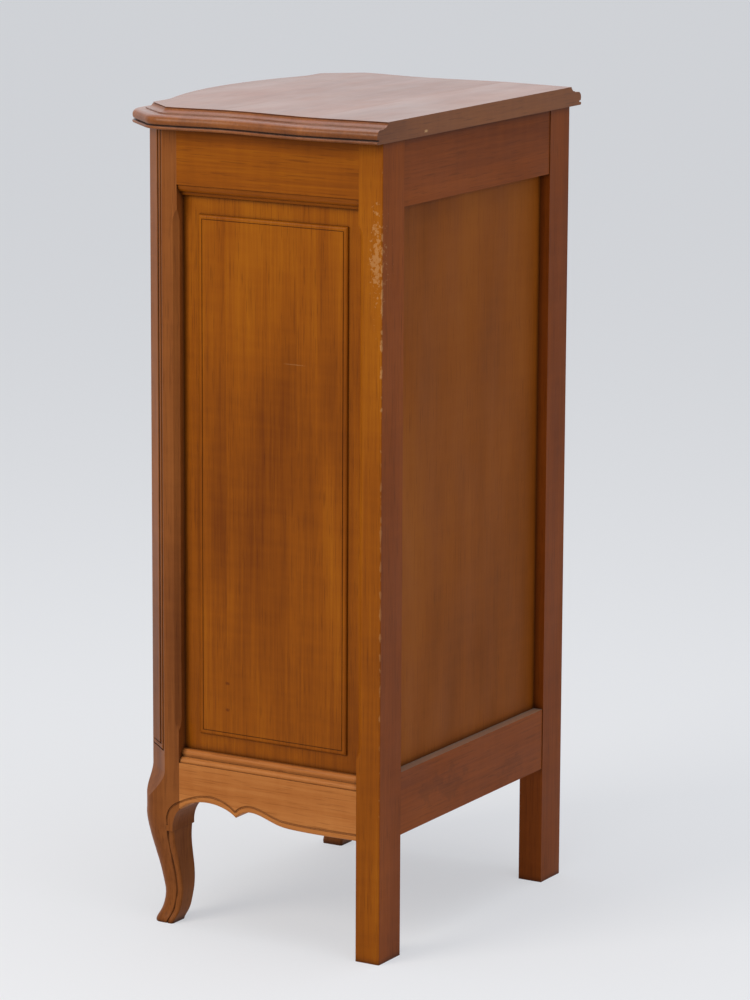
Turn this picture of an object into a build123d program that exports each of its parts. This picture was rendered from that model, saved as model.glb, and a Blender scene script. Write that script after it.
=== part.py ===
from build123d import *
import math
import os

os.makedirs("parts", exist_ok=True)

# A tall narrow chest of five bow-fronted drawers on two cabriole and two straight legs.
# Millimetres. X is the width, the front faces -Y, the back faces +Y, Z is up.
# The origin is on the floor, under the middle of the top.

# Case
case_width = 500.0
case_depth = 376.0
post_height = 1082.0
bow = 30.0
bow_half_width = 171.0
bow_ease = 80.0

# Top board and its moulded edge
top_thickness = 26.5
top_over_side = 23.0
top_over_front = 24.0
top_over_back = 5.0
top_swell = 8.0
top_dip = 2.0
top_corner_radius = 34.0
moulding_run = 28.0

# Posts
front_post_width = 54.0
front_post_depth = 65.0
rear_post_width = 54.5
rear_post_depth = 35.5
cant_along_front = 36.0
cant_along_side = 42.0
knee_radius = 29.0
knee_height = 214.0
leg_height = 160.0
stop_chamfer = 4.6
stop_run = 20.0

# Side frames
rail_thickness = 36.0
side_rail_bottom = 993.5
side_rail_flat = 1008.0
apron_flat = 231.0
apron_top = 248.5
panel_setback = 17.0
panel_thickness = 12.0
tongue = 6.0
field_margin = 24.0
field_rise = 3.5

# Scalloped aprons: heights of the lower edge
scallop_start = 166.0
scallop_apex = 181.0
scallop_cusp = 167.3
scallop_lobe = 177.5
scallop_waist = 166.4
scallop_end = 163.5
bead_width = 8.4
bead_groove = 1.5

# Back
back_rail_bottom = 995.0
back_low_rail_top = 249.0
back_low_rail_bottom = 164.0
back_rail_thickness = 22.0
back_rail_setback = 1.0
back_panel_setback = 15.0
back_panel_thickness = 6.0

# Front rails and drawers
drawer_count = 5
front_rail_height = 14.0
front_top_rail_height = 20.0
front_rail_depth = 60.0
front_apron_thickness = 22.0
drawer_gap = 1.2
drawer_run_gap = 0.3
drawer_front_thickness = 20.0
drawer_wood = 10.0
drawer_side_height = 122.0
drawer_bottom_thickness = 5.0
drawer_bottom_lift = 10.0
drawer_field_margin = 15.0
drawer_field_rise = 3.0
runner_width = 20.0

# Bail pulls
pull_offset = 95.0
pull_half_span = 34.0
rosette_radius = 10.0
pivot_reach = 13.0
knuckle_radius = 4.8
knuckle_length = 7.0
bail_radius = 2.0
bail_clearance = 0.3
bail_drop = 36.0

# Derived places
half_width = case_width / 2
top_depth = top_over_back + case_depth + bow + top_over_front
back_y = top_depth / 2 - top_over_back
front_y = back_y - case_depth
side_front_y = front_y + front_post_depth
side_back_y = back_y - rear_post_depth
front_inner_x = half_width - front_post_width
rear_inner_x = half_width - rear_post_width
panel_out_x = half_width - panel_setback
panel_in_x = panel_out_x - panel_thickness
rail_in_x = half_width - rail_thickness
arc_radius = (bow_half_width ** 2 + bow ** 2) / (2 * bow)
arc_centre_y = front_y - bow + arc_radius
drawer_zone = post_height - front_top_rail_height - back_low_rail_top
opening_height = (drawer_zone - (drawer_count - 1) * front_rail_height) / drawer_count


def box(x0, x1, y0, y1, z0, z1):
    solid = Box(x1 - x0, y1 - y0, z1 - z0)
    return Pos((x0 + x1) / 2, (y0 + y1) / 2, (z0 + z1) / 2) * solid


def prism(edges, travel):
    way = Vector(*travel)
    face = Face(Wire(edges))
    return extrude(face, amount=way.length, dir=way.normalized())


def outline(points):
    ring = list(points) + [points[0]]
    return [Line(a, b) for a, b in zip(ring[:-1], ring[1:])]


def other_side(shape):
    return mirror(shape, about=Plane.YZ)


def flip_edge(edge):
    return mirror(edge, about=Plane.YZ).edge()


# The bowed front line

def bow_line(inset, reach, z):
    """Edges from X -reach to +reach along the front, set back by inset."""
    flat_y = front_y + inset
    big = arc_radius - inset
    small = bow_ease + inset
    rise = arc_centre_y - flat_y + small
    turn_x = math.sqrt((big + small) ** 2 - rise ** 2)
    lean = math.atan2(turn_x, rise)
    meet = Vector(big * math.sin(lean), arc_centre_y - big * math.cos(lean), z)
    soft = Vector(
        turn_x - small * math.sin(lean / 2),
        flat_y - small + small * math.cos(lean / 2),
        z,
    )
    start = Vector(turn_x, flat_y, z)
    end = Vector(reach, flat_y, z)
    middle = Vector(0, arc_centre_y - big, z)

    def flip(p):
        return Vector(-p.X, p.Y, p.Z)

    return [
        Line(flip(end), flip(start)),
        ThreePointArc(flip(start), flip(soft), flip(meet)),
        ThreePointArc(flip(meet), middle, meet),
        ThreePointArc(meet, soft, start),
        Line(start, end),
    ]


def bow_y(x, inset=0.0):
    """Y of the bowed front at X."""
    flat_y = front_y + inset
    big = arc_radius - inset
    small = bow_ease + inset
    rise = arc_centre_y - flat_y + small
    turn_x = math.sqrt((big + small) ** 2 - rise ** 2)
    lean = math.atan2(turn_x, rise)
    if abs(x) <= big * math.sin(lean):
        return arc_centre_y - math.sqrt(big ** 2 - x ** 2)
    if abs(x) <= turn_x:
        return flat_y - small + math.sqrt(small ** 2 - (turn_x - abs(x)) ** 2)
    return flat_y


def bowed_board(reach, inset, back, z0, z1):
    """A board with a bowed front and a straight back edge at Y back."""
    edges = bow_line(inset, reach, z0)
    right = Vector(reach, front_y + inset, z0)
    left = Vector(-reach, front_y + inset, z0)
    back_right = Vector(reach, back, z0)
    back_left = Vector(-reach, back, z0)
    edges.append(Line(right, back_right))
    edges.append(Line(back_right, back_left))
    edges.append(Line(back_left, left))
    return prism(edges, (0, 0, z1 - z0))


def bowed_skin(reach, inset, thickness, z0, z1):
    """A board of even thickness that follows the bow on both faces."""
    edges = bow_line(inset, reach, z0)
    edges += bow_line(inset + thickness, reach, z0)
    near = front_y + inset
    far = front_y + inset + thickness
    edges.append(Line((reach, near, z0), (reach, far, z0)))
    edges.append(Line((-reach, near, z0), (-reach, far, z0)))
    return prism(edges, (0, 0, z1 - z0))


# Top

def top_right_edges(inset, z, rear):
    """Right half of the top's outline from the rear to the front, inside its widest line."""
    over = top_over_front - inset
    line_x = half_width + top_over_side - inset
    turn = math.atan2(cant_along_front, cant_along_side)
    along = Vector(-math.sin(turn), -math.cos(turn), 0)
    away = Vector(math.cos(turn), -math.sin(turn), 0)
    on_cant = Vector(half_width, front_y + cant_along_side, z) + away * over
    first_x = line_x + top_swell - 1
    first = on_cant + along * ((first_x - on_cant.X) / along.X)
    second = on_cant + along * ((front_y - over - on_cant.Y) / along.Y)
    radius = top_corner_radius - inset
    back_turn = math.pi / 2 - turn
    cut_a = radius * math.tan(turn / 2)
    cut_b = radius * math.tan(back_turn / 2)
    a0 = first + Vector(0, cut_a, 0)
    a1 = first + along * cut_a
    a_mid = a0 + Vector(-radius + radius * math.cos(turn / 2), -radius * math.sin(turn / 2), 0)
    b0 = second - along * cut_b
    b1 = second + Vector(-cut_b, 0, 0)
    b_mid = b1 + Vector(
        radius * math.sin(back_turn / 2),
        radius - radius * math.cos(back_turn / 2),
        0,
    )
    side = Spline(
        Vector(line_x, rear, z),
        Vector(line_x + top_swell, back_y - 0.29 * case_depth, z),
        Vector(line_x - top_dip, back_y - 0.63 * case_depth, z),
        a0,
        tangents=[(0, -1, 0), (0, -1, 0)],
    )
    return side, ThreePointArc(a0, a_mid, a1), Line(a1, b0), ThreePointArc(b0, b_mid, b1), b1


def top_path(inset, z, rear):
    """The top's outline from the rear right corner round the front to the rear left."""
    side, corner, cant, shoulder, end = top_right_edges(inset, z, rear)
    right = [side, corner, cant, shoulder]
    left = [flip_edge(edge) for edge in right]
    return right + bow_line(inset - top_over_front, end.X, z) + left


def top_profile(x, y, z):
    """Section of the moulded edge, measured in from the widest line and up from below."""
    def at(inward, up):
        return Vector(x - inward, y, z + up)

    t = top_thickness
    run = moulding_run
    inner = run + 4.0
    edges = [
        Line(at(inner, 0), at(2.2, 0)),
        ThreePointArc(at(2.2, 0), at(0.3, 1.9), at(1.8, 4.0)),
        Line(at(1.8, 4.0), at(5.4, 4.2)),
        Line(at(5.4, 4.2), at(5.4, 5.9)),
        Line(at(5.4, 5.9), at(1.9, 6.2)),
        ThreePointArc(at(1.9, 6.2), at(1.6, 14.2), at(9.4, t - 8.4)),
        Line(at(9.4, t - 8.4), at(run - 10.2, t - 7.9)),
        Line(at(run - 10.2, t - 7.9), at(run - 9.8, t - 6.6)),
        ThreePointArc(at(run - 9.8, t - 6.6), at(run - 3.4, t - 4.9), at(run - 0.6, t - 1.7)),
        Line(at(run - 0.6, t - 1.7), at(run + 0.4, t - 1.6)),
        Line(at(run + 0.4, t - 1.6), at(run, t)),
        Line(at(run, t), at(inner, t)),
        Line(at(inner, t), at(inner, 0)),
    ]
    return Face(Wire(edges))


def make_top():
    rear = back_y + top_over_back
    start = rear + 12.0
    path = Wire(top_path(0.0, post_height, start))
    section = top_profile(half_width + top_over_side, start, post_height)
    moulding = sweep(section, path=path)
    inset = moulding_run + 1.5
    loop = top_path(inset, post_height, start)
    corner_x = half_width + top_over_side - inset
    loop.append(Line((corner_x, start, post_height), (-corner_x, start, post_height)))
    core = prism(loop, (0, 0, top_thickness))
    whole = core + moulding
    reach = case_width
    waste = box(-reach, reach, rear, rear + 60, post_height - 20, post_height + 60)
    return whole - waste


# Scallops of the aprons

def scallop_points(start, way, length, leg_line):
    """Lower edge along an apron, from the leg to the far end, as (place, height)."""
    return {
        "leg": (leg_line, 140.0),
        "start": (start, scallop_start),
        "apex": (start + way * 0.138 * length, scallop_apex),
        "cusp": (start + way * 0.3216 * length, scallop_cusp),
        "lobe": (start + way * 0.400 * length, scallop_lobe),
        "waist": (start + way * 0.5615 * length, scallop_waist),
        "low": (start + way * 0.660 * length, scallop_end),
        "end": (start + way * length, scallop_end),
    }


def scallop_edges(place, marks, way, lift=0.0):
    """The scalloped line as edges; lift raises it for the groove over the bead."""
    def at(name, dx=0.0, dz=0.0):
        u, z = marks[name]
        return place(u + dx, z + dz)

    if lift:
        first = Spline(
            at("leg", -way * lift * 1.0, 2.0),
            at("start", -way * lift * 0.85, lift * 0.72),
            at("start", way * 2.2, lift * 1.33),
            at("apex", 0, lift),
            at("cusp", 0, lift),
        )
        second = Spline(
            at("cusp", 0, lift),
            at("lobe", 0, lift),
            at("waist", 0, lift),
            at("low", 0, lift),
            at("end", 0, lift),
        )
        return [first, second]
    first = Spline(at("leg"), at("start"), at("apex"), at("cusp"))
    second = Spline(at("cusp"), at("lobe"), at("waist"), at("low"), at("end"))
    return [first, second]


# Shape of the cabriole leg by height: shift of the outer corner, thickness, corner radius
leg_shape = [
    (0.0, -13.0, 31.6, 13.0),
    (5.0, -13.6, 32.4, 13.0),
    (12.0, -16.8, 32.2, 13.0),
    (24.0, -20.6, 31.4, 13.0),
    (38.0, -22.3, 31.6, 13.0),
    (52.0, -20.9, 34.2, 14.0),
    (66.0, -18.3, 36.9, 16.0),
    (94.0, -12.0, 41.4, 20.0),
    (121.0, -5.4, 46.9, 24.0),
    (142.0, -1.2, 52.3, 27.0),
    (leg_height, 0.0, front_post_width, knee_radius),
]


def leg_section(z, shift, size, radius):
    out_x = half_width + shift
    out_y = front_y - shift
    in_x = out_x - size
    in_y = out_y + size
    soft = 3.2
    k = 1 - math.sqrt(0.5)
    edges = [
        Line((in_x + soft, out_y, z), (out_x - radius, out_y, z)),
        ThreePointArc(
            (out_x - radius, out_y, z),
            (out_x - k * radius, out_y + k * radius, z),
            (out_x, out_y + radius, z),
        ),
        Line((out_x, out_y + radius, z), (out_x, in_y - soft, z)),
        ThreePointArc(
            (out_x, in_y - soft, z),
            (out_x - k * soft, in_y - k * soft, z),
            (out_x - soft, in_y, z),
        ),
        Line((out_x - soft, in_y, z), (in_x + soft, in_y, z)),
        ThreePointArc(
            (in_x + soft, in_y, z),
            (in_x + k * soft, in_y - k * soft, z),
            (in_x, in_y - soft, z),
        ),
        Line((in_x, in_y - soft, z), (in_x, out_y + soft, z)),
        ThreePointArc(
            (in_x, out_y + soft, z),
            (in_x + k * soft, out_y + k * soft, z),
            (in_x + soft, out_y, z),
        ),
    ]
    return Face(Wire(edges))


def leg_side_marks():
    leg_line = front_y + 53.8
    length = side_back_y - side_front_y
    return scallop_points(side_front_y, 1, length, leg_line)


def front_marks():
    """Scallops of the right half of the front apron, from the leg to the middle."""
    leg_line = half_width - 53.8
    return {
        "leg": (leg_line, 140.0),
        "start": (front_inner_x - 8.0, scallop_start),
        "apex": (front_inner_x * 0.78, scallop_apex),
        "cusp": (front_inner_x * 0.55, scallop_cusp),
        "lobe": (front_inner_x * 0.44, scallop_lobe),
        "waist": (front_inner_x * 0.22, scallop_waist - 2),
        "low": (front_inner_x * 0.10, scallop_end - 3),
        "end": (0.0, scallop_end - 4),
    }


def groove_tool(path_edges, depth=bead_groove):
    """A round tool that follows each edge, to cut the fine groove over a bead."""
    tools = []
    for edge in path_edges:
        start = edge @ 0
        way = edge % 0
        ring = Plane(origin=start, z_dir=way) * Circle(depth)
        tools.append(sweep(ring, path=edge))
    return tools


def side_grooves():
    marks = leg_side_marks()
    def place(u, z):
        return Vector(half_width, u, z)
    return groove_tool(scallop_edges(place, marks, 1, bead_width))


def leg_groove(to_side):
    """Tool for the groove down one face of the leg: the side face, or else the front."""
    d = bead_groove
    low_z, low_shift, low_size, _ = leg_shape[0]
    rows = [(low_z - 6.0, low_shift, low_size)]
    rows += [(z, shift, size) for z, shift, size, _ in leg_shape[:-1]]
    sections = []
    for z, shift, size in rows:
        face = half_width + shift
        line = front_y - shift + size - bead_width
        if to_side:
            ring = [(-d, 0), (0, -d), (3, -d), (3, d), (0, d)]
            points = [Vector(face + out, line + along, z) for out, along in ring]
        else:
            face = front_y - shift
            line = half_width + shift - size + bead_width
            ring = [(-d, 0), (0, -d), (3, -d), (3, d), (0, d)]
            points = [Vector(line + along, face - out, z) for out, along in ring]
        sections.append(Face(Wire(outline(points))))
    return loft(sections)


def front_grooves():
    marks = front_marks()
    def place(u, z):
        return Vector(u, bow_y(u), z)
    def dense(names, dxs, dzs):
        return [place(marks[n][0] + dx, marks[n][1] + dz) for n, dx, dz in zip(names, dxs, dzs)]
    lift = bead_width
    first = Spline(
        place(marks["leg"][0] + lift, marks["leg"][1] + 2.0),
        place(marks["start"][0] + lift * 0.85, marks["start"][1] + lift * 0.72),
        place(marks["start"][0] - 5.0, marks["start"][1] + lift * 1.45),
        place(marks["apex"][0], marks["apex"][1] + lift),
        place(marks["cusp"][0], marks["cusp"][1] + lift),
    )
    second = Spline(*dense(
        ["cusp", "lobe", "waist", "low", "end"],
        [0, 0, 0, 0, 0],
        [lift, lift, lift, lift, lift],
    ))
    return groove_tool([first, second])


# Posts

def cant_point(along, out, z):
    """A point on the canted face: along it from its rear edge, out from it, at height z."""
    length = math.hypot(cant_along_front, cant_along_side)
    ux = -cant_along_front / length
    uy = -cant_along_side / length
    x = half_width + ux * along - uy * out
    y = front_y + cant_along_side + uy * along + ux * out
    return Vector(x, y, z)


def cant_block(a0, a1, o0, o1, z0, z1):
    corners = [
        cant_point(a0, o0, z0),
        cant_point(a1, o0, z0),
        cant_point(a1, o1, z0),
        cant_point(a0, o1, z0),
    ]
    return prism(outline(corners), (0, 0, z1 - z0))


def cant_waste():
    """Wood cut from the corner above the knee, with a curved run-out at its foot."""
    far = post_height + 5.0
    low = knee_height
    curve = Spline(
        cant_point(-40, 0, low),
        cant_point(-40, 3.5, low - 12),
        cant_point(-40, 9.5, low - 24),
        cant_point(-40, 17.0, low - 46),
    )
    edges = [
        Line(cant_point(-40, 0, far), cant_point(-40, 0, low)),
        curve,
        Line(cant_point(-40, 17.0, low - 46), cant_point(-40, 60, low - 46)),
        Line(cant_point(-40, 60, low - 46), cant_point(-40, 60, far)),
        Line(cant_point(-40, 60, far), cant_point(-40, 0, far)),
    ]
    way = cant_point(100, 0, 0) - cant_point(-40, 0, 0)
    return prism(edges, (way.X, way.Y, way.Z))


def stop_chamfer_tool(x, y, out_x, out_y, z0, z1):
    """Tool for a chamfer that dies out in a curve at both ends of an upright edge."""
    length = math.hypot(out_x, out_y)
    ox = out_x / length
    oy = out_y / length
    side = 16.0

    def at(out, z):
        return Vector(x + ox * out + oy * side, y + oy * out - ox * side, z)

    c = stop_chamfer
    edges = [
        ThreePointArc(at(0.3, z0), at(-c * 0.72, z0 + stop_run * 0.42), at(-c, z0 + stop_run)),
        Line(at(-c, z0 + stop_run), at(-c, z1 - stop_run)),
        ThreePointArc(at(-c, z1 - stop_run), at(-c * 0.72, z1 - stop_run * 0.42), at(0.3, z1)),
        Line(at(0.3, z1), at(8, z1)),
        Line(at(8, z1), at(8, z0)),
        Line(at(8, z0), at(0.3, z0)),
    ]
    return prism(edges, (-oy * 2 * side, ox * 2 * side, 0))


def side_cutter():
    """Everything below the scalloped line of the side, right across the case side."""
    marks = leg_side_marks()
    low = 100.0
    def place(u, z):
        return Vector(half_width - 80, u, z)
    edges = scallop_edges(place, marks, 1)
    leg_y = marks["leg"][0]
    end_y, end_z = marks["end"]
    edges.append(Line(place(end_y, end_z), place(end_y + 20, end_z)))
    edges.append(Line(place(end_y + 20, end_z), place(end_y + 20, low)))
    edges.append(Line(place(end_y + 20, low), place(leg_y, low)))
    edges.append(Line(place(leg_y, low), place(leg_y, marks["leg"][1])))
    return prism(edges, (120, 0, 0))


def post_blank(z0, z1):
    x0 = front_inner_x
    x1 = half_width
    y0 = front_y
    y1 = side_front_y
    r = knee_radius
    k = r * (1 - math.sqrt(0.5))
    edges = [
        Line((x0, y0, z0), (x1 - r, y0, z0)),
        ThreePointArc((x1 - r, y0, z0), (x1 - k, y0 + k, z0), (x1, y0 + r, z0)),
        Line((x1, y0 + r, z0), (x1, y1, z0)),
        Line((x1, y1, z0), (x0, y1, z0)),
        Line((x0, y1, z0), (x0, y0, z0)),
    ]
    return prism(edges, (0, 0, z1 - z0))


def sunk_panel_parts():
    """The moulded frame and raised field let into the cant: what is cut, what is added."""
    length = math.hypot(cant_along_front, cant_along_side)
    top = post_height
    foot = knee_height + 29.0
    cut = cant_block(3.6, length - 3.6, -2.2, 6.0, foot, top + 1)
    bead = cant_block(5.6, length - 5.6, -2.2, 1.4, foot + 2.0, top)
    bead = bead - cant_block(11.6, length - 11.6, -5, 5, foot + 8.0, top + 1)
    bead = fillet(bead.edges().filter_by(lambda e: on_cant_level(e, 1.4)), 1.6)
    field = cant_block(13.4, length - 13.4, -2.2, 2.6, foot + 9.8, top)
    field = fillet(field.edges().filter_by(lambda e: on_cant_level(e, 2.6)), 1.2)
    return cut, bead, field


def on_cant_level(edge, out):
    """True for an edge that lies at this distance out of the cant, the top end excepted."""
    a = edge @ 0
    b = edge @ 1
    base = cant_point(0, 0, 0)
    normal = (cant_point(0, 1, 0) - base)
    if min(a.Z, b.Z) > post_height - 0.01:
        return False
    da = (Vector(a.X, a.Y, 0) - base).dot(normal)
    db = (Vector(b.X, b.Y, 0) - base).dot(normal)
    return abs(da - out) < 1e-3 and abs(db - out) < 1e-3


def make_front_post():
    blank = post_blank(leg_height, post_height) - cant_waste()
    ear = box(front_inner_x, half_width, front_y + 44, side_front_y, 134, leg_height)
    ear = ear - side_cutter()
    leg = loft([leg_section(*row) for row in leg_shape])
    leg = leg & box(front_inner_x, half_width, front_y, side_front_y, -1, leg_height)
    leg = leg - leg_groove(True) - leg_groove(False)
    post = blank - side_cutter()
    cut, bead, field = sunk_panel_parts()
    post = post - cut + bead + field
    post = post + ear + leg
    post = post - stop_chamfer_tool(half_width, side_front_y, 1, 1, 274, 976)
    groove = box(
        panel_in_x, panel_out_x,
        side_front_y - tongue, side_front_y + 1,
        apron_top - tongue, side_rail_bottom + tongue,
    )
    post = post - groove
    return post - side_grooves()[0]


def make_rear_post():
    post = box(rear_inner_x, half_width, side_back_y, back_y, 0, post_height)
    upright = post.edges().filter_by(Axis.Z).sort_by(lambda e: -(e @ 0).X - (e @ 0).Y)[0]
    post = fillet(upright, 1.6)
    post = post - stop_chamfer_tool(half_width, side_back_y, 1, -1, 274, 976)
    side_groove = box(
        panel_in_x, panel_out_x,
        side_back_y - 1, side_back_y + tongue,
        apron_top - tongue, side_rail_bottom + tongue,
    )
    back_groove = box(
        rear_inner_x - 1, rear_inner_x + tongue,
        back_y - back_panel_setback - back_panel_thickness, back_y - back_panel_setback,
        back_low_rail_top - tongue, back_rail_bottom + tongue,
    )
    return post - side_groove - back_groove


# Side frames

def make_side_top_rail():
    y = side_front_y
    flat = side_rail_flat
    low = side_rail_bottom
    x = half_width

    def at(inward, z):
        return Vector(x - inward, y, z)

    edges = [
        Line(at(rail_thickness, post_height), at(0, post_height)),
        Line(at(0, post_height), at(0, flat)),
        Line(at(0, flat), at(2.0, flat)),
        Line(at(2.0, flat), at(2.0, flat - 1.2)),
        ThreePointArc(at(2.0, flat - 1.2), at(3.4, flat - 6.2), at(8.4, low + 4.6)),
        Line(at(8.4, low + 4.6), at(10.0, low + 4.6)),
        Line(at(10.0, low + 4.6), at(10.0, low + 1.6)),
        Line(at(10.0, low + 1.6), at(11.6, low)),
        Line(at(11.6, low), at(rail_thickness, low)),
        Line(at(rail_thickness, low), at(rail_thickness, post_height)),
    ]
    rail = prism(edges, (0, side_back_y - side_front_y, 0))
    groove = box(panel_in_x, panel_out_x, y - 1, side_back_y + 1, low - 1, low + tongue)
    return rail - groove


def make_side_apron():
    y = side_front_y
    flat = apron_flat
    high = apron_top
    x = half_width

    def at(inward, z):
        return Vector(x - inward, y, z)

    edges = [
        Line(at(rail_thickness, 120), at(0, 120)),
        Line(at(0, 120), at(0, flat)),
        Line(at(0, flat), at(1.8, flat)),
        Line(at(1.8, flat), at(1.8, flat + 1.0)),
        ThreePointArc(at(1.8, flat + 1.0), at(2.9, flat + 4.8), at(6.4, flat + 7.6)),
        Line(at(6.4, flat + 7.6), at(8.0, flat + 7.6)),
        Line(at(8.0, flat + 7.6), at(8.0, flat + 9.2)),
        ThreePointArc(at(8.0, flat + 9.2), at(8.3, high - 3.2), at(11.2, high)),
        Line(at(11.2, high), at(rail_thickness, high)),
        Line(at(rail_thickness, high), at(rail_thickness, 120)),
    ]
    apron = prism(edges, (0, side_back_y - side_front_y, 0))
    apron = apron - side_cutter()
    low_edges = [e for e in apron.edges() if is_low_outer(e)]
    apron = fillet(low_edges, 2.6)
    groove = box(panel_in_x, panel_out_x, y - 1, side_back_y + 1, high - tongue, high + 1)
    apron = apron - groove
    for tool in side_grooves():
        apron = apron - tool
    return apron


def is_low_outer(edge):
    """True for the scalloped lower edges on the outer face of the side."""
    a = edge @ 0
    b = edge @ 1
    on_face = abs(a.X - half_width) < 0.01 and abs(b.X - half_width) < 0.01
    low = a.Z < apron_flat - 20 and b.Z < apron_flat - 20
    return on_face and low and abs(a.Y - b.Y) > 5


def make_side_panel():
    y0 = side_front_y
    y1 = side_back_y
    z0 = apron_top
    z1 = side_rail_bottom
    board = box(panel_in_x, panel_out_x, y0 - tongue, y1 + tongue, z0 - tongue, z1 + tongue)
    m = field_margin
    field = box(panel_out_x - 2, panel_out_x + field_rise, y0 + m, y1 - m, z0 + m, z1 - m)
    face = field.faces().sort_by(Axis.X)[-1]
    field = fillet(face.edges(), field_rise - 0.4)
    q = m + 5.6
    level = panel_out_x + field_rise
    ring = box(level - 0.8, level + 1, y0 + q, y1 - q, z0 + q, z1 - q)
    q = q + 1.1
    ring = ring - box(level - 2, level + 2, y0 + q, y1 - q, z0 + q, z1 - q)
    return board + field - ring


# Back

def make_back_rail(z0, z1, groove_z0, groove_z1):
    outer = back_y - back_rail_setback
    rail = box(-rear_inner_x, rear_inner_x, outer - back_rail_thickness, outer, z0, z1)
    face_y = back_y - back_panel_setback
    thick = back_panel_thickness
    return rail - box(-case_width, case_width, face_y - thick, face_y, groove_z0, groove_z1)


def make_back_panel():
    reach = rear_inner_x + tongue
    face_y = back_y - back_panel_setback
    low = back_low_rail_top - tongue
    high = back_rail_bottom + tongue
    return box(-reach, reach, face_y - back_panel_thickness, face_y, low, high)


# Front frame

def make_front_rail(z0, z1):
    return bowed_board(front_inner_x, 0.0, front_y + front_rail_depth, z0, z1)


def make_front_apron():
    apron = bowed_skin(front_inner_x, 0.0, front_apron_thickness, 120, back_low_rail_top)
    marks = front_marks()
    depth = front_y - bow - 20
    def place(u, z):
        return Vector(u, depth, z)
    right = scallop_edges(place, marks, -1)
    left = [flip_edge(edge) for edge in right]
    leg_x, leg_z = marks["leg"]
    low = 90.0
    edges = right + left
    edges.append(Line(place(leg_x, leg_z), place(leg_x + 10, leg_z)))
    edges.append(Line(place(leg_x + 10, leg_z), place(leg_x + 10, low)))
    edges.append(Line(place(leg_x + 10, low), place(-leg_x - 10, low)))
    edges.append(Line(place(-leg_x - 10, low), place(-leg_x - 10, leg_z)))
    edges.append(Line(place(-leg_x - 10, leg_z), place(-leg_x, leg_z)))
    apron = apron - prism(edges, (0, bow + 80, 0))
    for tool in front_grooves():
        apron = apron - tool - other_side(tool)
    return apron


def opening_floor(level):
    """Height of the runner tops of one drawer, counted from the lowest."""
    return back_low_rail_top + level * (opening_height + front_rail_height)


def make_runner(level):
    """One runner with its guide, on the right side."""
    top = opening_floor(level)
    low = top - front_rail_height
    inner = front_inner_x - runner_width
    tread_front = front_y + front_rail_depth
    tread_back = back_y - back_rail_setback - back_rail_thickness
    tread = box(inner, rear_inner_x, tread_front, tread_back, low, top)
    beam = box(rear_inner_x, rail_in_x, side_front_y, side_back_y, low, top + 12)
    return tread + beam


# Drawers

def drawer_back_y():
    return back_y - back_rail_setback - back_rail_thickness - 12.0


def drawer_reach():
    return front_inner_x - drawer_gap


def make_drawer_bottom(level):
    floor = opening_floor(level) + drawer_bottom_lift
    reach = drawer_reach() - drawer_wood / 2
    inset = drawer_front_thickness - drawer_wood / 2
    return bowed_board(reach, inset, drawer_back_y(), floor, floor + drawer_bottom_thickness)


def pull_frame(side, z):
    """Location on the bowed front where a pull is centred, turned to face outwards."""
    x = side * pull_offset
    y = bow_y(x)
    angle = math.degrees(math.asin(x / arc_radius))
    return Location((x, y, z), (0, 0, angle))


def pull_height(level):
    return opening_floor(level) + 0.56 * opening_height


def seat_depth():
    return pull_half_span ** 2 / (2 * arc_radius) + 0.7


def make_pull_seats(level):
    seats = []
    for side in (-1, 1):
        frame = pull_frame(side, pull_height(level))
        for end in (-1, 1):
            disc = Cylinder(rosette_radius, 10, rotation=(90, 0, 0))
            seats.append(frame * Pos(end * pull_half_span, seat_depth() - 5, 0) * disc)
    return seats


def escutcheon_blank(z, thickness, out):
    plate = Ellipse(10.5, 17.0)
    solid = extrude(Plane.XZ * plate, amount=thickness)
    return Pos(0, bow_y(0) + 0.5, z) * solid if out else None


def make_drawer_front(level):
    floor = opening_floor(level)
    z0 = floor + drawer_gap
    z1 = floor + opening_height - drawer_gap
    reach = drawer_reach()
    rise = drawer_field_rise
    front = bowed_skin(reach, rise, drawer_front_thickness - rise, z0, z1)
    m = drawer_field_margin
    field = bowed_skin(reach - m, 0.0, rise + 1.0, z0 + m, z1 - m)
    front = front + field
    front = front - make_drawer_bottom(level)
    for seat in make_pull_seats(level):
        front = front - seat
    front = front - escutcheon_blank(pull_height(level), 20.0, True)
    return front


def make_drawer_sides(level):
    floor = opening_floor(level) + drawer_run_gap
    reach = drawer_reach()
    front_face = front_y + drawer_front_thickness
    high = floor + drawer_side_height
    side = box(reach - drawer_wood, reach, front_face, drawer_back_y(), floor, high)
    side = side - make_drawer_bottom(level)
    return Compound(children=[side.solid(), other_side(side).solid()])


def make_drawer_back(level):
    floor = opening_floor(level) + drawer_bottom_lift + drawer_bottom_thickness
    reach = drawer_reach() - drawer_wood
    rear = drawer_back_y()
    high = opening_floor(level) + drawer_run_gap + drawer_side_height - 6
    return box(-reach, reach, rear - drawer_wood, rear, floor, high)


def make_pull_post():
    """A domed rosette with its post and pierced knuckle; its front faces -Y."""
    back = seat_depth()
    disc = Cylinder(rosette_radius, back + 1.4, rotation=(90, 0, 0))
    disc = Pos(0, (back - 1.4) / 2, 0) * disc
    dome = Cone(rosette_radius - 1.2, 4.2, 2.6, rotation=(90, 0, 0))
    dome = Pos(0, -1.4 - 1.3, 0) * dome
    stem = Cylinder(3.0, pivot_reach - 2.0, rotation=(90, 0, 0))
    stem = Pos(0, -(pivot_reach + 2.0) / 2, 0) * stem
    knuckle = Cylinder(knuckle_radius, knuckle_length, rotation=(0, 90, 0))
    knuckle = Pos(0, -pivot_reach, 0) * knuckle
    hole = Cylinder(bail_radius + bail_clearance, knuckle_length + 4, rotation=(0, 90, 0))
    hole = Pos(0, -pivot_reach, 0) * hole
    return disc + dome + stem + knuckle - hole


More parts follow.
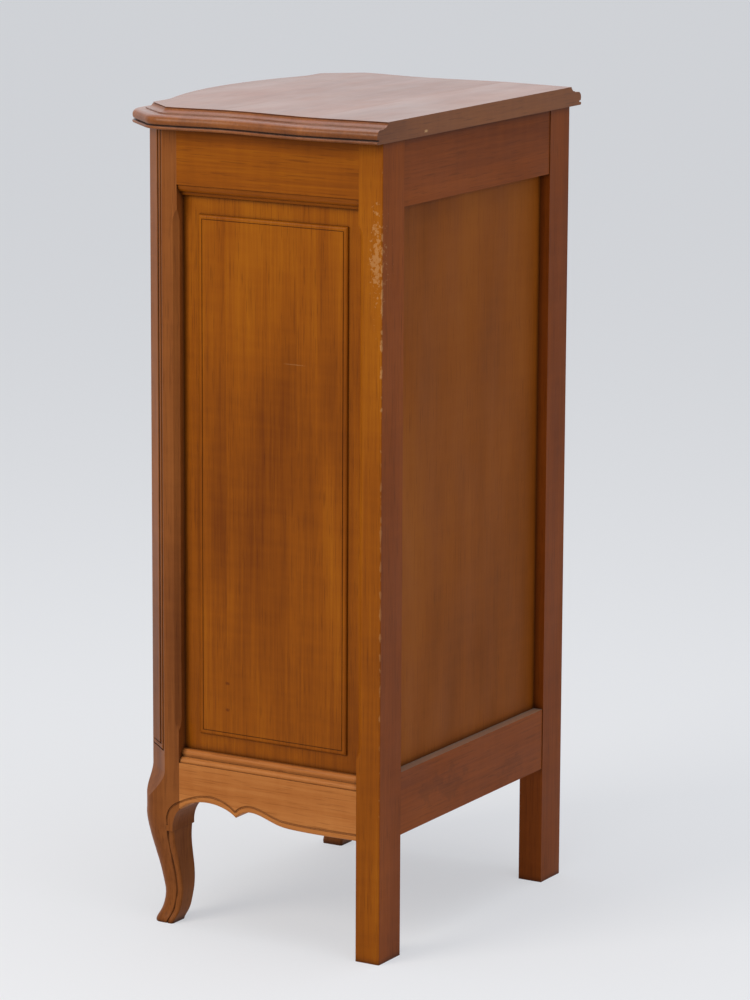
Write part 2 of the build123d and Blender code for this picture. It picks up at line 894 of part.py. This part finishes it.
def make_brasses(level):
    z = pull_height(level)
    parts = []
    for side in (-1, 1):
        frame = pull_frame(side, z)
        for end in (-1, 1):
            parts.append((frame * Pos(end * pull_half_span, 0, 0) * make_pull_post()).solid())
    plate = escutcheon_blank(z, 1.8, True)
    hole = Cylinder(2.2, 30, rotation=(90, 0, 0))
    slot = Box(2.2, 30, 8)
    middle = Pos(0, bow_y(0), z)
    plate = plate - middle * Pos(0, 0, 3) * hole - middle * Pos(0, 0, -1) * slot
    parts.append(plate.solid())
    return Compound(children=parts)


def make_bail(level, side):
    """The swinging handle, hanging straight down from its two knuckles."""
    span = pull_half_span
    tip = span - knuckle_length / 2 + 0.4
    out = span + knuckle_length / 2 + 3.0
    right = [
        Line((tip, 0, 0), (out, 0, 0)),
        ThreePointArc((out, 0, 0), (out + 2.83, 0, -1.17), (out + 4, 0, -4)),
        Spline(
            (out + 4, 0, -4),
            (out - 7, 0, -0.74 * bail_drop),
            (0, 0, -bail_drop),
            tangents=[(0, 0, -1), (-1, 0, 0)],
        ),
    ]
    left = [flip_edge(edge) for edge in right]
    path = Wire(right + left)
    ring = Plane(origin=(tip, 0, 0), z_dir=(1, 0, 0)) * Circle(bail_radius)
    bail = sweep(ring, path=path)
    frame = pull_frame(side, pull_height(level))
    return frame * Pos(0, -pivot_reach, 0) * bail


def save(shape, name):
    export_step(shape, f"parts/{name}.step")


front_post = make_front_post()
rear_post = make_rear_post()
side_top_rail = make_side_top_rail()
side_apron = make_side_apron()
side_panel = make_side_panel()

save(make_top(), "top")
for name, shape in (
    ("front_post", front_post),
    ("rear_post", rear_post),
    ("side_top_rail", side_top_rail),
    ("side_apron", side_apron),
    ("side_panel", side_panel),
):
    save(shape, f"{name}_right")
    save(other_side(shape), f"{name}_left")

save(
    make_back_rail(back_rail_bottom, post_height, back_rail_bottom - 1, back_rail_bottom + tongue),
    "back_top_rail",
)
save(
    make_back_rail(
        back_low_rail_bottom, back_low_rail_top,
        back_low_rail_top - tongue, back_low_rail_top + 1,
    ),
    "back_low_rail",
)
save(make_back_panel(), "back_panel")
save(make_front_rail(post_height - front_top_rail_height, post_height), "front_top_rail")
save(make_front_apron(), "front_apron")

for level in range(1, drawer_count):
    top = opening_floor(level)
    save(make_front_rail(top - front_rail_height, top), f"front_rail_{level}")

runners = [make_runner(level).solid() for level in range(drawer_count)]
save(Compound(children=runners), "runners_right")
save(Compound(children=[other_side(r).solid() for r in runners]), "runners_left")

for level in range(drawer_count):
    n = level + 1
    save(make_drawer_front(level), f"drawer_{n}_front")
    save(make_drawer_sides(level), f"drawer_{n}_sides")
    save(make_drawer_back(level), f"drawer_{n}_back")
    save(make_drawer_bottom(level), f"drawer_{n}_bottom")
    save(make_brasses(level), f"drawer_{n}_brasses")
    save(make_bail(level, -1), f"drawer_{n}_bail_left")
    save(make_bail(level, 1), f"drawer_{n}_bail_right")
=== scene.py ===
"""Looks of a tall narrow chest of drawers seen from behind: wood, brass, stage, light, camera."""
import math

import bpy
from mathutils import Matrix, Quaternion, Vector

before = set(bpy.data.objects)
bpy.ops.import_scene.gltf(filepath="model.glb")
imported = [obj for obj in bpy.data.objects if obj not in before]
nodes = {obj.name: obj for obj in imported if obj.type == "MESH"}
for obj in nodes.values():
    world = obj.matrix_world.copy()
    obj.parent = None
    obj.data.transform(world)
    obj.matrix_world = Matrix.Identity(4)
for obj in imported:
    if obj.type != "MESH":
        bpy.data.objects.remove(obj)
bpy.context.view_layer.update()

# Camera: place and look in metres, lens from the photograph's perspective
camera_place = Vector((4.9438, 2.9741, 1.7427))
camera_look = Vector((-0.84352, -0.49792, -0.20138))
camera_roll = math.radians(0.28)
focal_pixels = 4338.0
frame_pixels = 1000.0
sensor_width = 36.0

# Colours, linear
cherry_light = (0.405, 0.1247, 0.0032)
cherry_middle = (0.265, 0.0678, 0.0016)
cherry_dark = (0.126, 0.0262, 0.0012)
# Rear faces and inward faces of side pieces: darker and redder, partly a duller finish and partly
# painted shade
rear_shade_light = (0.327, 0.0791, 0.0086)
rear_shade_middle = (0.235, 0.0528, 0.0058)
rear_shade_dark = (0.132, 0.0263, 0.0028)
back_light = (0.360, 0.1057, 0.0095)
back_middle = (0.283, 0.0756, 0.0062)
back_dark = (0.190, 0.0472, 0.0034)
# Upper face of the top: the wood's own tone, made lighter and greyer by a painted sheen
top_sheen_light = (0.35, 0.135, 0.070)
top_sheen_middle = (0.26, 0.095, 0.050)
top_sheen_dark = (0.17, 0.058, 0.030)
leg_light = (0.321, 0.1061, 0.0219)
leg_middle = (0.220, 0.0662, 0.0132)
leg_dark = (0.101, 0.0254, 0.0050)
# Side aprons: lighter and more golden, painted light standing for light thrown up from the floor
apron_lit_light = (0.529, 0.2048, 0.0537)
apron_lit_middle = (0.397, 0.1292, 0.0269)
apron_lit_dark = (0.208, 0.0535, 0.0080)
raw_light = (0.50, 0.31, 0.15)
raw_middle = (0.38, 0.22, 0.10)
raw_dark = (0.26, 0.14, 0.06)
# Near black, for painted shade with some dirt in grooves and for real stains
dirt_and_shade = (0.022, 0.006, 0.002)
bare_wood = (0.62, 0.36, 0.15)
dust = (0.42, 0.36, 0.29)
brass_colour = (0.52, 0.34, 0.12)
floor_colour = (0.80, 0.79, 0.77)
backdrop_colour = (0.86, 0.88, 0.92, 1.0)

# Watts of the lamps
key_watts = 76.9
fill_watts = 9.0
sky_watts = 60.0

# Strength of the world's light, and share of the backdrop colour in what the eye sees of the floor
world_strength = 0.42
backdrop_share = 0.55

# Outer faces of the rear posts, metres
side_face = 0.250
back_face = 0.2125

# Finish: roughness, specular level, coat
satin = (0.36, 0.07, 0.03)
polished = (0.28, 0.20, 0.0)
dull = (0.46, 0.08, 0.0)
bare = (0.60, 0.25, 0.0)

# Grain: shares of figure, streaks, fibres and blotches in the tone
plain_sawn = (0.050, 0.30, 0.46, 0.85)
smooth = (0.020, 0.12, 0.28, 1.30)

# Grain: how often each part of it repeats in a metre, across, across and along the board
figure_scale = (4.5, 4.5, 0.5)
streak_scale = (42.0, 42.0, 0.9)
fibre_scale = (260.0, 260.0, 5.0)
pore_scale = (620.0, 620.0, 24.0)
blotch_scale = (6.0, 6.0, 2.0)
ripple_scale = (13.0, 13.0, 75.0)
smear_scale = (16.0, 16.0, 5.0)
figure_lines = 46.0

# Depth that painted shade and dirt reach out of a groove, metres
groove_reach = 0.009


# Materials

class Graph:
    """A small helper that adds nodes to one material and links them."""

    def __init__(self, name):
        self.material = bpy.data.materials.new(name)
        self.material.use_nodes = True
        self.tree = self.material.node_tree
        self.shader = self.tree.nodes["Principled BSDF"]
        self.place = self.add("ShaderNodeTexCoord").outputs["Object"]

    def add(self, kind, links=None, **values):
        made = self.tree.nodes.new(kind)
        for key, value in values.items():
            setattr(made, key, value)
        for socket, source in (links or {}).items():
            self.put(made.inputs[socket], source)
        return made

    def put(self, socket, source):
        if hasattr(source, "is_output"):
            self.tree.links.new(source, socket)
        else:
            socket.default_value = source

    def math(self, operation, a, b=0.0, c=0.0):
        return self.add("ShaderNodeMath", {0: a, 1: b, 2: c}, operation=operation).outputs[0]

    def vector(self, operation, a, b):
        return self.add("ShaderNodeVectorMath", {0: a, 1: b}, operation=operation)

    def noise(self, vector, scale, detail=2.0, rough=0.5):
        links = {"Vector": vector, "Scale": scale, "Detail": detail, "Roughness": rough}
        return self.add("ShaderNodeTexNoise", links).outputs["Fac"]

    def stretch(self, vector, scale):
        return self.vector("MULTIPLY", vector, scale).outputs[0]

    def spread(self, value, low, high, to_low=0.0, to_high=1.0):
        links = {"Value": value, 1: low, 2: high, 3: to_low, 4: to_high}
        return self.add("ShaderNodeMapRange", links).outputs["Result"]

    def sway(self, tone, value, amount):
        """Move the tone by a noise value about its middle."""
        return self.math("MULTIPLY_ADD", self.math("SUBTRACT", value, 0.5), amount, tone)

    def mix(self, factor, a, b):
        made = self.add("ShaderNodeMix", data_type="RGBA")
        self.put(made.inputs["Factor"], factor)
        self.put(made.inputs["A"], a)
        self.put(made.inputs["B"], b)
        return made.outputs["Result"]

    def ramp(self, tone, tones):
        light, middle, dark = tones
        made = self.add("ShaderNodeValToRGB", {"Fac": tone})
        made.color_ramp.elements[0].position = 0.15
        made.color_ramp.elements[0].color = opaque(dark)
        made.color_ramp.elements[1].position = 0.85
        made.color_ramp.elements[1].color = opaque(light)
        made.color_ramp.elements.new(0.5).color = opaque(middle)
        return made.outputs["Color"]

    def facing(self, axis):
        """One where the surface looks along the axis, zero where it looks elsewhere."""
        normal = self.add("ShaderNodeNewGeometry").outputs["Normal"]
        parts = self.add("ShaderNodeSeparateXYZ", {0: normal})
        return self.spread(parts.outputs[axis], 0.60, 0.85)

    def inward(self):
        """One on the faces of a side piece that look to the middle of the case, which take the rear
        tones and their painted shade.
        """
        normal = self.add("ShaderNodeNewGeometry").outputs["Normal"]
        across = self.add("ShaderNodeSeparateXYZ", {0: normal}).outputs["X"]
        place = self.add("ShaderNodeSeparateXYZ", {0: self.place}).outputs["X"]
        return self.spread(self.math("MULTIPLY", across, place), -0.16, -0.10, 1.0, 0.0)


def opaque(colour):
    return (*colour, 1.0)


def grain_space(graph, along, seed, board):
    """Part coordinates with the grain along Z: moved board by board, whole, and a value a board."""
    split = graph.add("ShaderNodeSeparateXYZ", {0: graph.place})
    order = {"X": ("Y", "Z", "X"), "Y": ("X", "Z", "Y"), "Z": ("X", "Y", "Z")}[along]
    joined = graph.add("ShaderNodeCombineXYZ")
    for socket, axis in zip("XYZ", order):
        graph.tree.links.new(split.outputs[axis], joined.inputs[socket])
    space = graph.vector("ADD", joined.outputs[0], Vector((1.37, 2.71, 0.53)) * seed).outputs[0]
    if not board:
        return space, space, 0.5
    axis, width = board
    strip = graph.math("DIVIDE", graph.math("ADD", split.outputs[axis], 0.031), width)
    number = graph.math("FLOOR", strip)
    step = graph.add("ShaderNodeCombineXYZ", {0: number, 1: number, 2: number}).outputs[0]
    moved = graph.vector("ADD", space, graph.stretch(step, (0.83, 1.91, 0.37))).outputs[0]
    value = graph.add("ShaderNodeTexWhiteNoise", {"W": number}, noise_dimensions="1D")
    return moved, space, value.outputs["Value"]


def mark(graph, colour, centre, radii, tint, strength, ragged):
    """One rubbed or stained place: an ellipsoid with a ragged rim."""
    scale, amount = ragged
    offset = graph.vector("SUBTRACT", graph.place, centre).outputs[0]
    offset = graph.stretch(offset, tuple(1.0 / radius for radius in radii))
    reach = graph.add("ShaderNodeVectorMath", {0: offset}, operation="LENGTH").outputs["Value"]
    reach = graph.sway(reach, graph.noise(graph.place, scale, 3.0, 0.6), amount)
    cover = graph.spread(reach, 0.45, 0.90, strength, 0.0)
    return graph.mix(cover, colour, opaque(tint))


def wood(
    name,
    along,
    seed,
    tones,
    rear=None,
    upper=None,
    board=None,
    finish=satin,
    grain=plain_sawn,
    wear=None,
):
    """Varnished wood: tones for all faces, darker ones for the rear and inward faces (partly a duller
    finish, partly painted shade), greyer ones for the upper faces (partly painted sheen), painted
    shade and dirt in the grooves, then wear.
    """
    gloss, level, coat = finish
    figure_share, streak_share, fibre_share, blotch_share = grain
    graph = Graph(name)
    space, whole, plank = grain_space(graph, along, seed, board)
    field = graph.noise(graph.stretch(space, figure_scale), 1.0, 1.5, 0.5)
    figure = graph.math("SINE", graph.math("MULTIPLY", field, figure_lines))
    streaks = graph.noise(graph.stretch(space, streak_scale), 1.0, 3.0, 0.55)
    fibres = graph.noise(graph.stretch(space, fibre_scale), 1.0, 5.0, 0.62)
    blotch = graph.noise(graph.stretch(whole, blotch_scale), 1.0, 4.0, 0.55)
    ripple = graph.noise(graph.stretch(space, ripple_scale), 1.0, 2.0, 0.5)
    tone = graph.math("MULTIPLY_ADD", figure, figure_share, 0.5)
    tone = graph.sway(tone, streaks, streak_share)
    tone = graph.sway(tone, fibres, fibre_share)
    tone = graph.sway(tone, blotch, blotch_share)
    tone = graph.sway(tone, ripple, 0.14)
    if board:
        tone = graph.sway(tone, plank, 0.07)
    colour = graph.ramp(tone, tones)
    # Rear faces and inward faces take the darker rear tones: partly a duller finish, partly painted
    # shade
    if rear:
        shaded_faces = graph.math("MAXIMUM", graph.facing("Y"), graph.inward())
        colour = graph.mix(shaded_faces, colour, graph.ramp(tone, rear))
    # Upper faces take the top tones: their own tone, partly painted sheen
    if upper:
        colour = graph.mix(graph.facing("Z"), colour, graph.ramp(tone, upper))
    pores = graph.noise(graph.stretch(space, pore_scale), 1.0, 1.0, 0.5)
    pitted = graph.spread(pores, 0.30, 0.40, 0.35, 0.0)
    colour = graph.mix(pitted, colour, opaque([0.7 * part for part in tones[2]]))
    # Grooves, recesses and joints are darkened towards near black: painted shade, partly dirt
    hollow = graph.add("ShaderNodeAmbientOcclusion", samples=6)
    hollow.inputs["Distance"].default_value = groove_reach
    groove_shade_and_dirt = graph.spread(hollow.outputs["AO"], 0.35, 0.93, 0.88, 0.0)
    colour = graph.mix(groove_shade_and_dirt, colour, opaque(dirt_and_shade))
    if wear:
        colour = wear(graph, colour)
    graph.put(graph.shader.inputs["Base Color"], colour)
    smear = graph.noise(graph.stretch(space, smear_scale), 1.0, 3.0, 0.6)
    graph.put(graph.shader.inputs["Roughness"], graph.spread(smear, 0.3, 0.75, gloss, gloss + 0.14))
    graph.shader.inputs["Specular IOR Level"].default_value = level
    graph.shader.inputs["Coat Weight"].default_value = coat
    graph.shader.inputs["Coat Roughness"].default_value = 0.24
    bump = graph.add("ShaderNodeBump", {"Height": fibres, "Strength": 0.12, "Distance": 0.0005})
    links = {"Height": graph.noise(whole, 12.0, 1.0, 0.4), "Strength": 0.18, "Distance": 0.004}
    links["Normal"] = bump.outputs["Normal"]
    soft = graph.add("ShaderNodeBump", links)
    graph.put(graph.shader.inputs["Normal"], soft.outputs["Normal"])
    return graph.material


def post_wear(graph, colour):
    """Pale scuffs high on the side face, by the corner, and a few chips in the corner edge."""
    scuffs = (side_face, 0.2035, 0.938)
    colour = mark(graph, colour, scuffs, (0.02, 0.0065, 0.050), bare_wood, 0.30, (210.0, 6.0))
    chips = (side_face, back_face, 0.900)
    colour = mark(graph, colour, chips, (0.0020, 0.0020, 0.110), bare_wood, 0.38, (75.0, 6.0))
    nicks = (side_face, back_face, 0.520)
    return mark(graph, colour, nicks, (0.0015, 0.0015, 0.160), bare_wood, 0.22, (60.0, 7.5))


def panel_wear(graph, colour):
    """A faint scratch across the field and two small knocks low down."""
    scratch = (0.240, 0.075, 0.784)
    colour = mark(graph, colour, scratch, (0.05, 0.022, 0.0009), bare_wood, 0.16, (400.0, 1.0))
    for height in (0.346, 0.310):
        knock = (0.240, -0.030, height)
        colour = mark(graph, colour, knock, (0.05, 0.0045, 0.003), cherry_dark, 0.8, (300.0, 1.5))
    return colour


def low_rail_wear(graph, colour):
    """Dull stains on the back face and dust on the upper edge."""
    stained = (0.086, back_face, 0.205)
    colour = mark(graph, colour, stained, (0.060, 0.05, 0.022), dirt_and_shade, 0.18, (55.0, 4.0))
    other = (-0.110, back_face, 0.190)
    colour = mark(graph, colour, other, (0.045, 0.05, 0.016), dirt_and_shade, 0.12, (70.0, 4.0))
    film = graph.math("MULTIPLY", graph.facing("Z"), 0.35)
    return graph.mix(film, colour, opaque(dust))


def top_wear(graph, colour):
    """One chip in the rear edge, a little dust on the upper face, and a polish on that face alone."""
    polish = graph.math("MULTIPLY", graph.facing("Z"), 0.42)
    graph.put(graph.shader.inputs["Coat Weight"], polish)
    chip = (0.150, 0.2175, 1.088)
    colour = mark(graph, colour, chip, (0.006, 0.008, 0.003), bare_wood, 0.8, (300.0, 2.0))
    cloud = graph.spread(graph.noise(graph.place, 9.0, 4.0, 0.6), 0.35, 0.75, 0.0, 0.16)
    film = graph.math("MULTIPLY", graph.facing("Z"), cloud)
    return graph.mix(film, colour, opaque(dust))


def brass(name):
    """Aged brass, tarnished in patches."""
    graph = Graph(name)
    tarnish = graph.noise(graph.place, 160.0, 4.0, 0.6)
    tarnished = opaque([0.45 * part for part in brass_colour])
    colour = graph.mix(graph.spread(tarnish, 0.35, 0.65), tarnished, opaque(brass_colour))
    graph.put(graph.shader.inputs["Base Color"], colour)
    graph.put(graph.shader.inputs["Roughness"], graph.spread(tarnish, 0.3, 0.7, 0.42, 0.24))
    graph.shader.inputs["Metallic"].default_value = 1.0
    return graph.material


cherry = (cherry_light, cherry_middle, cherry_dark)
rear_shade_cherry = (rear_shade_light, rear_shade_middle, rear_shade_dark)
plain_back = (back_light, back_middle, back_dark)
top_sheen_cherry = (top_sheen_light, top_sheen_middle, top_sheen_dark)
leg_cherry = (leg_light, leg_middle, leg_dark)
apron_lit_cherry = (apron_lit_light, apron_lit_middle, apron_lit_dark)
raw_wood = (raw_light, raw_middle, raw_dark)


def look_for(name, seed):
    """The material of one CAD node, chosen by its name."""
    if name.endswith("brasses") or "bail" in name:
        return brass(f"brass_{name}")
    if name == "top":
        look = {"upper": top_sheen_cherry, "board": ("Y", 0.142), "finish": polished}
        return wood(name, "X", seed, leg_cherry, wear=top_wear, **look)
    if name == "back_panel":
        return wood(name, "Z", seed, plain_back, finish=dull, grain=smooth)
    if name == "back_low_rail":
        return wood(name, "X", seed, cherry, rear_shade_cherry, wear=low_rail_wear)
    if name.startswith("back_"):
        return wood(name, "X", seed, cherry, rear_shade_cherry)
    if name.startswith("rear_post"):
        return wood(name, "Z", seed, cherry, rear_shade_cherry, wear=post_wear)
    if name.startswith("front_post"):
        return wood(name, "Z", seed, leg_cherry)
    if name.startswith("side_panel"):
        return wood(name, "Z", seed, cherry, board=("Y", 0.108), wear=panel_wear)
    if name.startswith("side_apron"):
        # The aprons take a brighter tone: painted light from the floor
        return wood(name, "Y", seed, apron_lit_cherry)
    if name.startswith("side_"):
        return wood(name, "Y", seed, cherry)
    if name.startswith("runners") or name.endswith("_sides"):
        return wood(name, "Y", seed, raw_wood, finish=bare)
    if name.endswith("_back") or name.endswith("_bottom"):
        return wood(name, "X", seed, raw_wood, finish=bare)
    return wood(name, "X", seed, cherry)


def dress():
    for seed, name in enumerate(sorted(nodes)):
        mesh = nodes[name].data
        mesh.materials.clear()
        mesh.materials.append(look_for(name, seed + 1))


# Stage

def seen_rays(tree):
    """One for rays that show a surface to the eye, straight on or by a reflection."""
    path = tree.nodes.new("ShaderNodeLightPath")
    value = path.outputs["Is Camera Ray"]
    for kind in ("Is Glossy Ray", "Is Transmission Ray"):
        larger = tree.nodes.new("ShaderNodeMath")
        larger.operation = "MAXIMUM"
        tree.links.new(value, larger.inputs[0])
        tree.links.new(path.outputs[kind], larger.inputs[1])
        value = larger.outputs[0]
    return value


def lay_floor():
    half = 30.0
    mesh = bpy.data.meshes.new("floor")
    corners = [(-half, -half, 0), (half, -half, 0), (half, half, 0), (-half, half, 0)]
    mesh.from_pydata(corners, [], [(0, 1, 2, 3)])
    floor = bpy.data.objects.new("floor", mesh)
    bpy.context.scene.collection.objects.link(floor)
    graph = Graph("floor")
    graph.shader.inputs["Base Color"].default_value = opaque(floor_colour)
    graph.shader.inputs["Roughness"].default_value = 0.9
    glow = graph.add("ShaderNodeEmission", {"Color": backdrop_colour, "Strength": 1.0})
    share = graph.math("MULTIPLY", seen_rays(graph.tree), backdrop_share)
    blend = graph.add("ShaderNodeMixShader", {0: share})
    graph.tree.links.new(graph.shader.outputs[0], blend.inputs[1])
    graph.tree.links.new(glow.outputs[0], blend.inputs[2])
    out = graph.tree.nodes["Material Output"]
    graph.tree.links.new(blend.outputs[0], out.inputs["Surface"])
    mesh.materials.append(graph.material)


def set_world():
    world = bpy.data.worlds.new("studio")
    bpy.context.scene.world = world
    world.use_nodes = True
    tree = world.node_tree
    shade = tree.nodes["Background"]
    shade.inputs["Color"].default_value = (0.88, 0.92, 1.0, 1.0)
    shade.inputs["Strength"].default_value = world_strength
    seen = tree.nodes.new("ShaderNodeBackground")
    seen.inputs["Color"].default_value = backdrop_colour
    seen.inputs["Strength"].default_value = 1.0
    choose = tree.nodes.new("ShaderNodeMixShader")
    tree.links.new(seen_rays(tree), choose.inputs[0])
    tree.links.new(shade.outputs[0], choose.inputs[1])
    tree.links.new(seen.outputs[0], choose.inputs[2])
    tree.links.new(choose.outputs[0], tree.nodes["World Output"].inputs["Surface"])


def area_light(name, place, target, size, watts, colour):
    data = bpy.data.lights.new(name, "AREA")
    data.shape = "RECTANGLE"
    data.size, data.size_y = size
    data.energy = watts
    data.color = colour
    lamp = bpy.data.objects.new(name, data)
    lamp.location = place
    lamp.rotation_mode = "QUATERNION"
    lamp.rotation_quaternion = (Vector(target) - Vector(place)).to_track_quat("-Z", "Y")
    bpy.context.scene.collection.objects.link(lamp)


def set_lights():
    warm = (1.0, 0.95, 0.88)
    cool = (0.92, 0.95, 1.0)
    area_light("key", (3.2, -1.4, 2.6), (0.2, 0.0, 0.7), (1.8, 1.8), key_watts, warm)
    area_light("fill", (1.2, 3.6, 2.4), (0.0, 0.2, 0.6), (2.2, 2.2), fill_watts, cool)
    area_light("sky", (0.3, 0.3, 3.6), (0.0, 0.0, 1.0), (3.0, 3.0), sky_watts, cool)


def set_camera():
    data = bpy.data.cameras.new("camera")
    data.sensor_width = sensor_width
    data.lens = focal_pixels * sensor_width / frame_pixels
    data.clip_start = 0.1
    data.clip_end = 150.0
    camera = bpy.data.objects.new("camera", data)
    camera.location = camera_place
    camera.rotation_mode = "QUATERNION"
    turn = camera_look.to_track_quat("-Z", "Y")
    camera.rotation_quaternion = turn @ Quaternion((0.0, 0.0, 1.0), camera_roll)
    bpy.context.scene.collection.objects.link(camera)
    bpy.context.scene.camera = camera


dress()
lay_floor()
set_world()
set_lights()
set_camera()
bpy.context.scene.view_settings.view_transform = "Standard"
